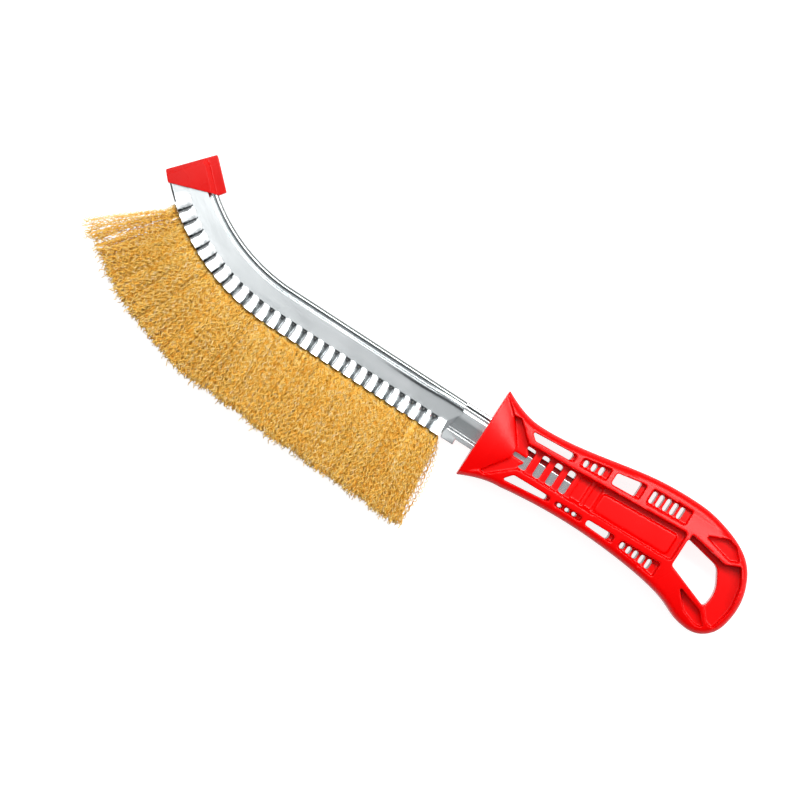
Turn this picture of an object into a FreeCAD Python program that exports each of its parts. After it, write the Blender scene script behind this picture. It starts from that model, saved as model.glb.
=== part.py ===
import FreeCAD, Part
import math
import os
import Sketcher

# Wire brush of the knife pattern, in millimetres.
# A sheet-steel holder is folded over doubled crimped wires and their core wire. Its tang runs into
# a moulded plastic handle, and a pushed-on plastic cap covers the folded edges at the tip.
# While it is drawn, X runs from the tip to the handle, Y from the wires to the spine of the holder
# and Z through the thickness, with X = 0 where the steel enters the handle, Y = 0 on the centre line
# of the straight holder and Z = 0 on the mid-plane. The last step moves everything so that the
# origin lies below the centre of the whole brush, on the surface that it lies on.

Vector = FreeCAD.Vector
doc = FreeCAD.newDocument("WireBrush")

SIZES = (
    # The centre line of the holder: straight from the handle, then one arc to the tip.
    ("straight_run", 87.7, "handle to the start of the bend"),
    ("bend_radius", 76.8, "radius of the centre line in the bend"),
    ("bend_angle", 45.0, "turn of the bend, in degrees"),
    # Cross-section of the folded sheet.
    ("holder_height", 16.3, "spine to mouth"),
    ("bead_height", 2.05, "rounded bead along the spine"),
    ("neck_half", 0.95, "half thickness of the groove under the bead"),
    ("groove_height", 0.45, "height of that groove"),
    ("shoulder_rise", 1.0, "height of the slope from groove to cheek"),
    ("shoulder_half", 2.6, "half thickness at the top of the cheeks"),
    ("cheek_half", 3.4, "half thickness at the bottom of the cheeks"),
    ("crease_half", 2.45, "half thickness at the creases between flutes"),
    ("channel_half", 2.0, "half width of the channel that grips the wires"),
    ("channel_roof", 4.0, "height of the channel roof above the centre line"),
    ("cheek_end", 10.2, "handle to the point of the cheeks"),
    ("cheek_point", 3.0, "height of that point above the centre line"),
    ("cheek_heel", -1.9, "height at which the cut corner below it meets the first flute"),
    # Flutes: one pressed pillow on each cheek for every bundle of wires.
    ("flute_start", 13.5, "handle to the first flute"),
    ("flute_pitch", 4.77, "flute to flute along the centre line"),
    ("flute_count", 27, "flutes on one cheek"),
    ("flute_height", 5.95, "mouth to the top of a flute"),
    ("flute_mouth_radius", 2.3, "radius of a flute at the mouth"),
    ("flute_top_radius", 1.7, "radius of a flute at its top"),
    ("flute_crest", 3.6, "half thickness over a flute's crest"),
    ("crease_slope", 0.4, "height of the slope from the cheek into a crease"),
    # Wires.
    ("core_radius", 1.0, "radius of the core wire"),
    ("core_height", 2.2, "core wire above the centre line"),
    ("core_gap", 0.1, "clearance of the doubled wires on the core wire"),
    ("wire_trim", 32.6, "free length of the wires"),
    ("trim_gain", 3.3, "extra free length next to the handle"),
    ("gain_run", 70.0, "length over which that extra fades"),
    ("fan_angle", 9.0, "lean of the outermost wires, in degrees"),
    ("fan_run", 34.0, "length over which that lean fades at each end"),
    ("tuft_half", 7.0, "half thickness of the wires at their ends"),
    # Tang.
    ("tang_crown", 1.9, "height of the fold line on the tang's sides"),
    ("tang_crown_half", 2.1, "half thickness at that fold line"),
    ("tang_top_half", 1.45, "half thickness under the tang's groove"),
    ("tang_side_half", 1.6, "half thickness at the foot of the tang's sides"),
    ("tang_lip_top", -3.5, "top of the lip along the tang's lower edge"),
    ("tang_lip_groove", 0.4, "depth of the fine groove above that lip"),
    ("tang_bottom", -5.9, "lower edge of the tang"),
    ("tang_edge_slope", 0.3, "broken edge along the tang's lower edge"),
    ("tang_entry", 10.4, "depth of the tang's full section in the handle"),
    ("blade_top", 5.7, "upper edge of the narrow end of the tang"),
    ("blade_top_half", 0.5, "half thickness at that edge"),
    ("blade_fold", 3.6, "height of the fold line on the narrow end"),
    ("blade_half", 1.6, "half thickness of the narrow end below its fold line"),
    ("tang_depth", 39.2, "depth of the tang in the handle"),
    # Tip cap.
    ("cap_wall", 1.1, "wall of the cap beside the cheeks"),
    ("cap_spine_wall", 2.9, "wall of the cap over the spine"),
    ("cap_mouth_wall", 0.6, "wall of the cap below the mouth"),
    ("cap_ridge_half", 2.6, "half thickness of the cap over the bead"),
    ("cap_band", 3.7, "width of that lower band"),
    ("cap_chamfer", 1.6, "slope down from the raised face of the cap"),
    ("cap_end_spine", 5.0, "turn from the holder's end to the cap's end at the spine, in degrees"),
    ("cap_end_mouth", 3.0, "the same at the mouth"),
    ("cap_grip", 7.6, "how far the cap reaches back over the spine, in degrees"),
    ("cap_mouth_grip", 0.4, "the same over the mouth"),
    # Handle outline.
    ("grip_length", 84.7, "collar face to the hang hole"),
    ("butt_length", 29.4, "hang hole to the end of the handle"),
    ("collar_top", 20.3, "top corner of the collar"),
    ("collar_bottom", -16.6, "bottom corner of the collar"),
    ("neck_top", 15.3, "upper edge at the neck"),
    ("neck_run", 16.0, "collar face to the neck"),
    ("palm_top", 23.3, "upper edge at the palm swell"),
    ("waist_bottom", -9.4, "lower edge at the waist"),
    ("waist_sweep", 2.4, "drop of the lower edge to both ends of the waist"),
    ("lobe_bottom", -18.1, "lower edge at the finger lobe"),
    # Handle thickness and cut-outs.
    ("handle_thickness", 21.0, "collar and rails, over both sides"),
    ("crown_line", 4.5, "height at which the handle is thickest"),
    ("rail_fall", 1.9, "drop of the crowned sides at the palm's edge"),
    ("rim_radius", 3.2, "rounding of the outer rim"),
    ("web_thickness", 10.0, "floor to floor in the long channel"),
    ("pocket_thickness", 8.0, "floor to floor in the pockets around the hang hole"),
    ("recess_thickness", 12.0, "floor to floor in the recesses around the small slots"),
    ("dome_edge", 17.0, "thickness at the edge of the collar's dome"),
    ("channel_top_front", 6.55, "channel's upper edge, at the collar face"),
    ("channel_top_back", 11.85, "channel's upper edge, at the hang hole"),
    ("channel_bottom_front", -3.2, "channel's lower edge, at the collar face"),
    ("channel_bottom_back", -0.35, "channel's lower edge, at the hang hole"),
    ("rib_width", 2.0, "rib between the channel and the upper windows"),
    ("lower_rib_width", 2.6, "rib between the channel and the lower windows"),
    ("rim_width", 3.7, "rim outside the upper openings next to the butt"),
    ("front_rim_width", 3.1, "rim outside the upper openings next to the collar"),
    ("lower_rim_width", 3.2, "rim outside the lower openings"),
    ("slot_inset", 0.7, "land around the small slots in their recesses"),
    ("groove_width", 3.0, "V-shaped groove behind the dome"),
    ("stem_height", 1.6, "middle of the short stem slot"),
    ("stem_width", 1.7, "width of that slot"),
    ("stem_flare", 1.4, "flare of the slot that the stem opens into"),
    ("slot_width", 1.9, "small slots in the rails"),
    ("tang_slot_width", 2.9, "slots over the tang"),
    ("pad_rise", 0.8, "raised panel above the channel floor"),
)

SIDES = (("Front", 1), ("Back", -1))

sheet = doc.addObject("Spreadsheet::Sheet", "Sizes")
for row, (alias, value, meaning) in enumerate(SIZES, start=1):
    sheet.set(f"A{row}", alias)
    sheet.set(f"B{row}", str(value))
    sheet.set(f"C{row}", meaning)
    sheet.setAlias(f"B{row}", alias)
doc.recompute()


def size(alias):
    """A driving dimension, read from the sheet."""
    return float(sheet.get(alias))


# ---------------------------------------------------------------- drawing helpers

def new_body(name):
    body = doc.addObject("PartDesign::Body", name)
    body.Label = name
    return body


def origin_plane(body, role):
    for feature in body.Origin.OriginFeatures:
        if feature.Role == role:
            return feature
    raise ValueError(role)


def new_sketch(body, name, role, offset="0"):
    """Empty sketch parallel to an origin plane, moved along its normal by an expression."""
    sketch = body.newObject("Sketcher::SketchObject", name)
    sketch.AttachmentSupport = [(origin_plane(body, role), "")]
    sketch.MapMode = "FlatFace"
    sketch.setExpression("AttachmentOffset.Base.z", offset)
    return sketch


def bind_point(sketch, edge, end, x_size, y_size):
    """Fix one end of an edge at two expressions."""
    for kind, wanted in (("DistanceX", x_size), ("DistanceY", y_size)):
        value = float(sketch.evalExpression(wanted))
        index = sketch.addConstraint(Sketcher.Constraint(kind, -1, 1, edge, end, value))
        sketch.setExpression(f"Constraints[{index}]", wanted)


def draw_bound(sketch, corners, arcs=None):
    """Closed outline whose corners are expressions; an entry in arcs bends the side after a corner.

    Each entry holds the expressions of a point on the arc and of its radius.
    """
    arcs = arcs or {}
    points = [Vector(*(float(sketch.evalExpression(part)) for part in corner), 0) for corner in corners]
    first = sketch.GeometryCount
    for index, point in enumerate(points):
        following = points[(index + 1) % len(points)]
        if index in arcs:
            middle = Vector(*(float(sketch.evalExpression(part)) for part in arcs[index][:2]), 0)
            sketch.addGeometry(Part.Arc(point, middle, following), False)
        else:
            sketch.addGeometry(Part.LineSegment(point, following), False)
    starts = [edge_end(sketch, first + index, point) for index, point in enumerate(points)]
    for index, corner in enumerate(corners):
        edge = first + index
        following = first + (index + 1) % len(points)
        finish = 3 - starts[index]
        sketch.addConstraint(Sketcher.Constraint(
            "Coincident", edge, finish, following, starts[(index + 1) % len(points)]))
        bind_point(sketch, edge, starts[index], *corner)
        if index in arcs:
            radius = arcs[index][2]
            value = float(sketch.evalExpression(radius))
            number = sketch.addConstraint(Sketcher.Constraint("Radius", edge, value))
            sketch.setExpression(f"Constraints[{number}]", radius)


def edge_end(sketch, edge, point):
    """Which end of a sketch edge (1 or 2) lies at a point."""
    if sketch.getPoint(edge, 1).distanceToPoint(point) < 1e-6:
        return 1
    return 2


def draw_rounded(sketch, corners):
    """Closed outline of straight sides; each corner is its X, Y and rounding radius, 0 for a sharp one."""
    count = len(corners)
    trimmed = []
    for index, (x, y, radius) in enumerate(corners):
        corner = Vector(x, y, 0)
        before = (Vector(*corners[index - 1][:2], 0) - corner).normalize()
        after = (Vector(*corners[(index + 1) % count][:2], 0) - corner).normalize()
        half = before.getAngle(after) / 2
        inward = (before + after).normalize()
        start = corner + before * (radius / math.tan(half))
        finish = corner + after * (radius / math.tan(half))
        middle = corner + inward * (radius / math.sin(half) - radius)
        trimmed.append((start, middle, finish))
    for index, (start, middle, finish) in enumerate(trimmed):
        if corners[index][2]:
            sketch.addGeometry(Part.Arc(start, middle, finish), False)
        following = trimmed[(index + 1) % count][0]
        if finish.distanceToPoint(following) > 1e-4:
            sketch.addGeometry(Part.LineSegment(finish, following), False)


def draw_polygon(sketch, corners):
    points = [Vector(x, y, 0) for x, y in corners]
    for point, following in zip(points, points[1:] + points[:1]):
        sketch.addGeometry(Part.LineSegment(point, following), False)


def draw_spline(sketch, points):
    curve = Part.BSplineCurve()
    curve.interpolate([Vector(x, y, 0) for x, y in points])
    sketch.addGeometry(curve, False)


def pad(body, name, sketch, length, midplane=False, backwards=False):
    feature = body.newObject("PartDesign::Pad", name)
    feature.Profile = sketch
    feature.setExpression("Length", length)
    feature.Midplane = midplane
    feature.Reversed = backwards
    return feature


def pocket(body, name, sketch, length=None, midplane=False, backwards=False):
    """Cut a sketch to a depth, or right through when no depth is given."""
    doc.recompute()
    before = body.Shape.Volume
    feature = body.newObject("PartDesign::Pocket", name)
    feature.Profile = sketch
    if length is None:
        feature.Type = "ThroughAll"
    else:
        feature.setExpression("Length", length)
    feature.Midplane = midplane
    feature.Reversed = backwards
    doc.recompute()
    if not body.Shape.Volume < before - 0.01:
        raise RuntimeError(f"{name} cuts nothing")
    return feature


def both_sides(body, name, thickness, draw):
    """Pocket the same outline into both sides of the handle, down to a remaining thickness."""
    depth = f"(Sizes.handle_thickness - {thickness}) / 2"
    for side, level in (("Front", "Sizes.handle_thickness / 2"), ("Back", "-Sizes.handle_thickness / 2")):
        sketch = new_sketch(body, f"{name}{side}Outline", "XY_Plane", level)
        draw(sketch)
        pocket(body, f"{name}{side}", sketch, depth, backwards=side == "Back")


# ---------------------------------------------------------------- the centre line

def place_on_path(distance):
    """Placement on the holder's centre line, at a distance from the handle.

    Its X axis points back to the handle and its Y axis to the spine.
    """
    straight = size("straight_run")
    radius = size("bend_radius")
    turn = max(0.0, (distance - straight) / radius)
    base = Vector(-min(distance, straight) - radius * math.sin(turn), radius - radius * math.cos(turn), 0)
    return FreeCAD.Placement(base, FreeCAD.Rotation(Vector(0, 0, 1), -math.degrees(turn)))


def draw_path(sketch, start, height, last_turn):
    """Straight run and arc parallel to the centre line, at a height above it."""
    run = size("straight_run")
    radius = size("bend_radius") - float(sketch.evalExpression(height))
    turn = float(sketch.evalExpression(last_turn))
    level = float(sketch.evalExpression(height))
    begin = -float(sketch.evalExpression(start))
    line = sketch.addGeometry(Part.LineSegment(Vector(begin, level, 0), Vector(-run, level, 0)), False)
    circle = Part.Circle(Vector(-run, size("bend_radius"), 0), Vector(0, 0, 1), radius)
    angles = (math.radians(-90 - turn), math.radians(-90))
    arc = sketch.addGeometry(Part.ArcOfCircle(circle, *angles), False)
    sketch.addConstraint(Sketcher.Constraint("Coincident", line, 2, arc, 2))
    bind_point(sketch, line, 1, f"-({start})", height)
    bind_point(sketch, arc, 3, "-Sizes.straight_run", "Sizes.bend_radius")
    bind_point(sketch, arc, 2, "-Sizes.straight_run", height)
    reach = f"(Sizes.bend_radius - {height})"
    far_end = f"-Sizes.straight_run - {reach} * sin({last_turn} * 1 deg)"
    value = float(sketch.evalExpression(far_end))
    number = sketch.addConstraint(Sketcher.Constraint("DistanceX", -1, 1, arc, 1, value))
    sketch.setExpression(f"Constraints[{number}]", far_end)


# ---------------------------------------------------------------- steel holder

SPINE = "Sizes.holder_height / 2"
MOUTH = "-Sizes.holder_height / 2"
BEAD_FOOT = "Sizes.holder_height / 2 - Sizes.bead_height"
BEAD_RADIUS = "(Sizes.neck_half ^ 2 + Sizes.bead_height ^ 2) / (2 * Sizes.bead_height)"


def mirrored_section(half_profile):
    """Corners down one side of a section and back up the other."""
    other_side = [(height, f"-({half})") for height, half in reversed(half_profile)]
    return half_profile + other_side


def draw_sheet_section(sketch, creased=True):
    """Outside of the folded sheet: bead, groove, shoulder, cheek and the creased lower band."""
    half_profile = [
        (BEAD_FOOT, "Sizes.neck_half"),
        (f"{BEAD_FOOT} - Sizes.groove_height", "Sizes.neck_half"),
        (f"{BEAD_FOOT} - Sizes.groove_height - Sizes.shoulder_rise", "Sizes.shoulder_half"),
        (f"{MOUTH} + Sizes.flute_height", "Sizes.cheek_half"),
    ]
    if creased:
        half_profile.append((f"{MOUTH} + Sizes.flute_height - Sizes.crease_slope", "Sizes.crease_half"))
        half_profile.append((MOUTH, "Sizes.crease_half"))
    else:
        half_profile.append((MOUTH, "Sizes.flute_crest"))
    corners = mirrored_section(half_profile)
    draw_bound(sketch, corners, {len(corners) - 1: (SPINE, "0", BEAD_RADIUS)})


def draw_tang_section(sketch):
    """Tang: the bead runs on above sides with a shallow fold line and a lip at the lower edge."""
    half_profile = [
        (BEAD_FOOT, "Sizes.neck_half"),
        (f"{BEAD_FOOT} - Sizes.groove_height", "Sizes.neck_half"),
        (f"{BEAD_FOOT} - 2 * Sizes.groove_height", "Sizes.tang_top_half"),
        ("Sizes.tang_crown", "Sizes.tang_crown_half"),
        ("Sizes.tang_lip_top", "Sizes.tang_side_half"),
        ("Sizes.tang_lip_top - Sizes.tang_lip_groove / 2", "Sizes.tang_side_half - Sizes.tang_lip_groove"),
        ("Sizes.tang_lip_top - Sizes.tang_lip_groove", "Sizes.tang_side_half"),
        ("Sizes.tang_bottom + Sizes.tang_edge_slope", "Sizes.tang_side_half"),
        ("Sizes.tang_bottom", "Sizes.tang_side_half - Sizes.tang_edge_slope"),
    ]
    corners = mirrored_section(half_profile)
    draw_bound(sketch, corners, {len(corners) - 1: (SPINE, "0", BEAD_RADIUS)})


def draw_blade_section(sketch):
    """Narrow end of the tang, inside the grip."""
    draw_bound(sketch, mirrored_section([
        ("Sizes.blade_top", "Sizes.blade_top_half"),
        ("Sizes.blade_fold", "Sizes.blade_half"),
        ("Sizes.tang_bottom", "Sizes.blade_half"),
    ]))


def draw_channel_section(sketch):
    """Inside of the folded sheet, open at the mouth."""
    draw_bound(sketch, [
        ("Sizes.channel_roof", "Sizes.channel_half"),
        (f"{MOUTH} - 1", "Sizes.channel_half"),
        (f"{MOUTH} - 1", "-Sizes.channel_half"),
        ("Sizes.channel_roof", "-Sizes.channel_half"),
    ])


def add_bend_axis(body):
    """Axis of the bend, parallel to Z."""
    axis = body.newObject("PartDesign::Line", "BendAxis")
    axis.AttachmentSupport = [(origin_plane(body, "XY_Plane"), "")]
    axis.MapMode = "ObjectZ"
    axis.setExpression("AttachmentOffset.Base.x", "-Sizes.straight_run")
    axis.setExpression("AttachmentOffset.Base.y", "Sizes.bend_radius")
    return axis


def turn_at(distance):
    """Turn of the centre line at a distance from the handle, in degrees."""
    return math.degrees((distance - size("straight_run")) / size("bend_radius"))


def row_end():
    """Distance of the last flute's far side from the handle."""
    return flute_centres()[-1] + size("flute_pitch") / 2


def bend_end():
    """Length of the centre line from the handle to the holder's end."""
    return size("straight_run") + math.radians(size("bend_angle")) * size("bend_radius")


def add_end_land(body, bend_axis):
    """Flat stretch of the cheeks past the last flute, revolved back from the holder's end."""
    sketch = new_sketch(body, "EndLandSection", "YZ_Plane")
    plane = FreeCAD.Rotation(Vector(0, 1, 0), Vector(0, 0, 1), Vector(1, 0, 0), "XYZ")
    upright = FreeCAD.Placement(Vector(0, 0, 0), plane)
    sketch.setExpression("AttachmentOffset.Base.z", None)
    sketch.AttachmentOffset = upright.inverse().multiply(place_on_path(bend_end())).multiply(upright)
    draw_sheet_section(sketch, creased=False)
    land = body.newObject("PartDesign::Revolution", "EndLand")
    land.Profile = sketch
    land.ReferenceAxis = (bend_axis, [""])
    land.setExpression("Angle", f"Sizes.bend_angle - {turn_at(row_end()):.6f}")
    doc.recompute()


def run_and_bend(body, name, draw, bend_axis, start, turn, cut=False):
    """A section carried along the straight run and round the bend, added or cut away."""
    flat = new_sketch(body, f"{name}RunSection", "YZ_Plane", "-Sizes.straight_run")
    draw(flat)
    run = body.newObject("PartDesign::Pocket" if cut else "PartDesign::Pad", f"{name}Run")
    run.Profile = flat
    run.setExpression("Length", f"Sizes.straight_run - {start}" + (" + 1" if cut else ""))
    run.Reversed = cut
    doc.recompute()
    turned = new_sketch(body, f"{name}BendSection", "YZ_Plane", "-Sizes.straight_run")
    draw(turned)
    bend = body.newObject("PartDesign::Groove" if cut else "PartDesign::Revolution", f"{name}Bend")
    bend.Profile = turned
    bend.ReferenceAxis = (bend_axis, [""])
    bend.setExpression("Angle", turn)
    bend.Reversed = True
    doc.recompute()


def add_flute(body, name, distance, side):
    """One pillow on a cheek: a cone along the height, wider at the mouth, its crest kept level."""
    tall = size("flute_height") + size("crease_slope")
    mouth_axis = size("flute_crest") - size("flute_mouth_radius")
    top_axis = size("cheek_half") - size("flute_top_radius")
    cone = body.newObject("PartDesign::AdditiveCone", name)
    cone.setExpression("Radius1", "Sizes.flute_mouth_radius")
    cone.setExpression("Radius2", "Sizes.flute_top_radius")
    cone.setExpression("Height", "Sizes.flute_height + Sizes.crease_slope")
    axis = Vector(0, tall, side * (top_axis - mouth_axis))
    seam_inside = FreeCAD.Rotation(Vector(0, 0, 1), side * 90)
    turn = FreeCAD.Rotation(Vector(0, 0, 1), axis).multiply(seam_inside)
    foot = Vector(0, -size("holder_height") / 2, side * mouth_axis)
    cone.AttachmentSupport = [(origin_plane(body, "XY_Plane"), "")]
    cone.MapMode = "FlatFace"
    cone.AttachmentOffset = place_on_path(distance).multiply(FreeCAD.Placement(foot, turn))
    return cone


def flute_centres():
    """Distances of the flutes from the handle."""
    first = size("flute_start") + size("flute_pitch") / 2
    return [first + index * size("flute_pitch") for index in range(round(size("flute_count")))]


def add_straight_flutes(body, name, side):
    """Row of flutes along the straight run of one cheek."""
    centres = [centre for centre in flute_centres() if centre <= size("straight_run")]
    flute = add_flute(body, f"StraightFlute{name}", centres[0], side)
    doc.recompute()
    pattern = body.newObject("PartDesign::LinearPattern", f"StraightFlutes{name}")
    pattern.Originals = [flute]
    pattern.Direction = (origin_plane(body, "X_Axis"), [""])
    pattern.Reversed = True
    pattern.setExpression("Length", f"{len(centres) - 1} * Sizes.flute_pitch")
    pattern.Occurrences = len(centres)
    body.Tip = pattern
    doc.recompute()


def add_bent_flutes(body, name, side, bend_axis):
    """Row of flutes round the bend of one cheek."""
    centres = [centre for centre in flute_centres() if centre > size("straight_run")]
    flute = add_flute(body, f"BentFlute{name}", centres[0], side)
    doc.recompute()
    pattern = body.newObject("PartDesign::PolarPattern", f"BentFlutes{name}")
    pattern.Originals = [flute]
    pattern.Axis = (bend_axis, [""])
    pattern.Reversed = True
    turns = f"{len(centres) - 1} * Sizes.flute_pitch / Sizes.bend_radius"
    pattern.setExpression("Angle", f"{turns} * 180 / pi")
    pattern.Occurrences = len(centres)
    body.Tip = pattern
    doc.recompute()


def make_steel_holder():
    body = new_body("steel_holder")
    bend_axis = add_bend_axis(body)
    run_and_bend(body, "Sheet", draw_sheet_section, bend_axis, "Sizes.cheek_end", "Sizes.bend_angle")

    for name, side in SIDES:
        add_straight_flutes(body, name, side)
    for name, side in SIDES:
        add_bent_flutes(body, name, side, bend_axis)
    add_end_land(body, bend_axis)

    # The channel between the cheeks, from the mouth to its roof.
    run_and_bend(
        body, "Channel", draw_channel_section, bend_axis, "Sizes.cheek_end", "Sizes.bend_angle", cut=True)

    # The cheeks end in a point, with the corner below it cut back to the first flute.
    corner = new_sketch(body, "CheekCorner", "XY_Plane")
    draw_bound(corner, [
        ("-Sizes.cheek_end + 1", "Sizes.cheek_point + 1"),
        ("-Sizes.cheek_end", "Sizes.cheek_point"),
        ("-Sizes.flute_start", "Sizes.cheek_heel"),
        ("-Sizes.flute_start + 0.6", f"{MOUTH} - 1"),
        ("-Sizes.cheek_end + 1", f"{MOUTH} - 1"),
    ])
    pocket(body, "CheekCornerCut", corner, midplane=True)

    full = new_sketch(body, "TangSection", "YZ_Plane", "-Sizes.flute_start")
    draw_tang_section(full)
    pad(body, "Tang", full, "Sizes.flute_start + Sizes.tang_entry")
    doc.recompute()
    blade = new_sketch(body, "BladeSection", "YZ_Plane", "Sizes.tang_entry")
    draw_blade_section(blade)
    pad(body, "TangBlade", blade, "Sizes.tang_depth - Sizes.tang_entry")
    doc.recompute()
    lug = new_sketch(body, "LugOutline", "XY_Plane")
    draw_bound(lug, [
        ("-Sizes.flute_start + 0.7", "Sizes.tang_bottom + 1.5"),
        ("-Sizes.cheek_end + 3.0", "Sizes.tang_bottom + 0.4"),
        ("-Sizes.cheek_end + 3.2", f"{MOUTH} + 0.2"),
        ("-Sizes.cheek_end - 2.0", f"{MOUTH}"),
    ])
    pad(body, "Lug", lug, "2 * Sizes.channel_half", midplane=True)
    doc.recompute()
    return body


# ---------------------------------------------------------------- wires

def make_core_wire():
    body = new_body("core_wire")
    path = new_sketch(body, "CorePath", "XY_Plane")
    draw_path(path, "Sizes.flute_start", "Sizes.core_height", f"{turn_at(row_end()):.6f}")
    section = new_sketch(body, "CoreSection", "YZ_Plane", "-Sizes.flute_start")
    circle = Part.Circle(Vector(size("core_height"), 0, 0), Vector(0, 0, 1), size("core_radius"))
    section.addGeometry(circle, False)
    bind_point(section, 0, 3, "Sizes.core_height", "0")
    number = section.addConstraint(Sketcher.Constraint("Radius", 0, size("core_radius")))
    section.setExpression(f"Constraints[{number}]", "Sizes.core_radius")
    wire = body.newObject("PartDesign::AdditivePipe", "CoreSweep")
    wire.Profile = section
    wire.Spine = (path, [])
    return body


def fade(distance, run):
    """1 at the end of a row of bundles, 0 from a distance on."""
    return max(0.0, 1.0 - distance / run)


def lean_at(distance):
    """Lean of the wires towards the handle at a distance along the holder, in degrees."""
    at_handle = fade(distance - size("flute_start"), size("fan_run")) ** 2
    at_tip = fade(row_end() - distance, size("fan_run")) ** 2
    return size("fan_angle") * (at_handle - at_tip)


def side_at(distance, frame, level, free_length=0.0):
    """X of a bundle's side plane in the bundle's own frame, at a height in that frame.

    Below the mouth the side leans with the wires.
    """
    station = frame.inverse().multiply(place_on_path(distance))
    across = station.Rotation.multVec(Vector(0, 1, 0))
    x_here = station.Base.x + (level - station.Base.y) / across.y * across.x
    return x_here + free_length * math.tan(math.radians(lean_at(distance)))


def make_wire_bundle(number, centre):
    """The wires gripped by one pair of flutes: doubled over the core wire and fanning out."""
    body = new_body(f"wire_bundle_{number:02d}")
    frame = place_on_path(centre)
    near_side = centre - size("flute_pitch") / 2
    far_side = centre + size("flute_pitch") / 2
    trim = size("wire_trim") + size("trim_gain") * fade(centre - size("flute_start"), size("gain_run"))
    mouth = -size("holder_height") / 2
    levels = (
        ("Root", size("channel_roof"), size("channel_half"), 0.0),
        ("Mouth", mouth, size("channel_half"), 0.0),
        ("Tips", mouth - trim, size("tuft_half"), trim),
    )
    sections = []
    for name, level, half, free_length in levels:
        sketch = new_sketch(body, f"{name}{number:02d}", "XZ_Plane", f"{-level:.6f}")
        right = side_at(near_side, frame, level, free_length)
        left = side_at(far_side, frame, level, free_length)
        draw_polygon(sketch, [(left, -half), (right, -half), (right, half), (left, half)])
        sections.append(sketch)
    loft = body.newObject("PartDesign::AdditiveLoft", f"Wires{number:02d}")
    loft.Profile = sections[0]
    loft.Sections = sections[1:]
    loft.Ruled = True
    seat = new_sketch(body, f"CoreSeat{number:02d}", "YZ_Plane")
    circle = Part.Circle(Vector(size("core_height"), 0, 0), Vector(0, 0, 1), size("core_radius"))
    seat.addGeometry(circle, False)
    bind_point(seat, 0, 3, "Sizes.core_height", "0")
    radius = "Sizes.core_radius + Sizes.core_gap"
    bound = seat.addConstraint(Sketcher.Constraint("Radius", 0, float(seat.evalExpression(radius))))
    seat.setExpression(f"Constraints[{bound}]", radius)
    pocket(body, f"CoreHole{number:02d}", seat, midplane=True)
    body.Placement = frame
    return body


# ---------------------------------------------------------------- tip cap

def round_bend(turn, height, radius):
    """Corner at a turn along the bend, in degrees, and a height above the centre line."""
    reach = size("bend_radius") - height
    angle = math.radians(turn)
    x = -size("straight_run") - reach * math.sin(angle)
    y = size("bend_radius") - reach * math.cos(angle)
    return (x, y, radius)


def cap_outline(spine_drop, end_drop, corner, others):
    """Wedge of the cap, with its spine edge and its end drawn in by a distance and a turn.

    The corner between those two edges has a radius of its own.
    """
    end = size("bend_angle")
    spine = size("holder_height") / 2
    outer = spine + size("cap_spine_wall") - spine_drop
    mouth = -spine - size("cap_mouth_wall")
    slope = (size("cap_grip") - size("cap_mouth_grip")) / (spine - mouth)
    open_turn = end - size("cap_grip") + slope * max(0.0, spine - outer)
    corners = [
        round_bend(end + size("cap_end_mouth") - end_drop, mouth, others),
        round_bend(end - size("cap_mouth_grip"), mouth, others),
    ]
    if outer > spine:
        corners.append(round_bend(open_turn, spine, others))
    corners.append(round_bend(open_turn, outer, others))
    corners.append(round_bend(end + size("cap_end_spine") - end_drop, outer, corner))
    return corners


def edges_where(shape, wanted):
    """Names of a shape's edges whose middle point and direction satisfy a test."""
    names = []
    for number, edge in enumerate(shape.Edges, start=1):
        middle = edge.valueAt((edge.FirstParameter + edge.LastParameter) / 2)
        ends = edge.valueAt(edge.LastParameter) - edge.valueAt(edge.FirstParameter)
        if wanted(middle, ends):
            names.append(f"Edge{number}")
    return names


def dress_up(body, kind, name, amount, wanted):
    """Fillet or chamfer the chosen edges of the body as it stands."""
    doc.recompute()
    tip = body.Tip
    names = edges_where(tip.Shape, wanted)
    if not names:
        raise RuntimeError(f"{name} finds no edge")
    feature = body.newObject(f"PartDesign::{kind}", name)
    feature.Base = (tip, names)
    feature.setExpression("Radius" if kind == "Fillet" else "Size", amount)
    doc.recompute()
    return feature


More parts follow.
